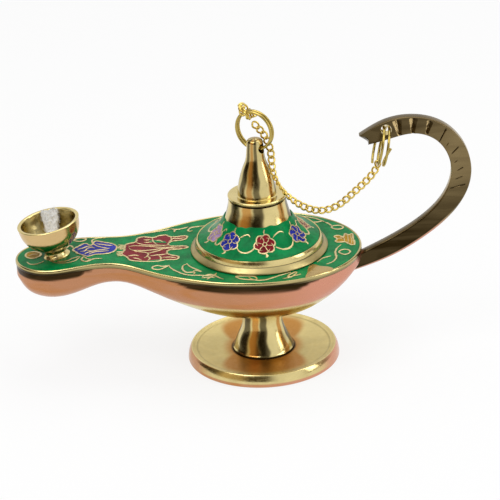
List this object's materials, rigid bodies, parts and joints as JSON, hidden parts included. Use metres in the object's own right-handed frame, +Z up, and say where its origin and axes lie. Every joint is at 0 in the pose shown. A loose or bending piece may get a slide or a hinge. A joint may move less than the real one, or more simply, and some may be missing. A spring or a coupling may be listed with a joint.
{
  "type": "genie oil lamp",
  "caption": "Low brass oil lamp with a long spout and burner cup, enamelled floral deck, pedestal foot, hooked handle, and a conical lid tied to the handle by a fine chain.",
  "frame": {"origin": "centre of the foot's rest plane, on the axis of the foot and lid", "axes": "+X from the spout towards the handle, +Y to the far side, +Z up"},
  "size_m": [0.1508, 0.0564, 0.09],
  "materials": {
    "brass_body": "polished cast brass with a copper tint",
    "brass_foot": "polished turned brass",
    "brass_wire": "bright drawn brass wire",
    "screw_steel": "plain steel",
    "enamel_green": "glossy vitreous enamel",
    "enamel_red": "glossy vitreous enamel",
    "enamel_blue": "glossy vitreous enamel",
    "enamel_amber": "glossy vitreous enamel",
    "enamel_violet": "glossy vitreous enamel",
    "wick_cotton": "loose cotton"
  },
  "bodies": {
    "lamp": {"pedestal_foot": "brass_foot", "foot_screw": "screw_steel", "foot_washer": "screw_steel", "bowl": "brass_body", "deck_plate": "brass_body", "deck_enamel_green": "enamel_green", "deck_enamel_red": "enamel_red", "deck_enamel_blue": "enamel_blue", "deck_enamel_amber": "enamel_amber", "spout_cup": "brass_foot", "wick": "wick_cotton", "handle": "brass_body"},
    "lid": {"lid_dome": "brass_foot", "lid_enamel_green": "enamel_green", "lid_enamel_red": "enamel_red", "lid_enamel_blue": "enamel_blue", "lid_enamel_violet": "enamel_violet", "lid_finial": "brass_foot", "lid_nut": "brass_foot", "chain_hanging": "brass_wire"},
    "lid_ring": {"lid_ring": "brass_wire", "chain_knot": "brass_wire", "chain_drop": "brass_wire"},
    "handle_ring": {"handle_ring": "brass_wire", "chain_end": "brass_wire"}
  },
  "joints": [
    {"name": "lid_lift", "type": "slide", "parent": "lamp", "child": "lid", "axis": [0, 0, 1], "range_m": [0, 0.025], "deforming": ["chain_hanging"]},
    {"name": "lid_ring_swing", "type": "hinge", "parent": "lid", "child": "lid_ring", "pos_m": [0, 0, 0.0752], "axis": [0.866, -0.5, 0], "range_deg": [-60, 60], "deforming": ["chain_drop"]},
    {"name": "handle_ring_swing", "type": "hinge", "parent": "lamp", "child": "handle_ring", "pos_m": [0.0427, 0, 0.0798], "axis": [0, 1, 0], "range_deg": [-20, 15], "deforming": ["chain_end"]}
  ]
}
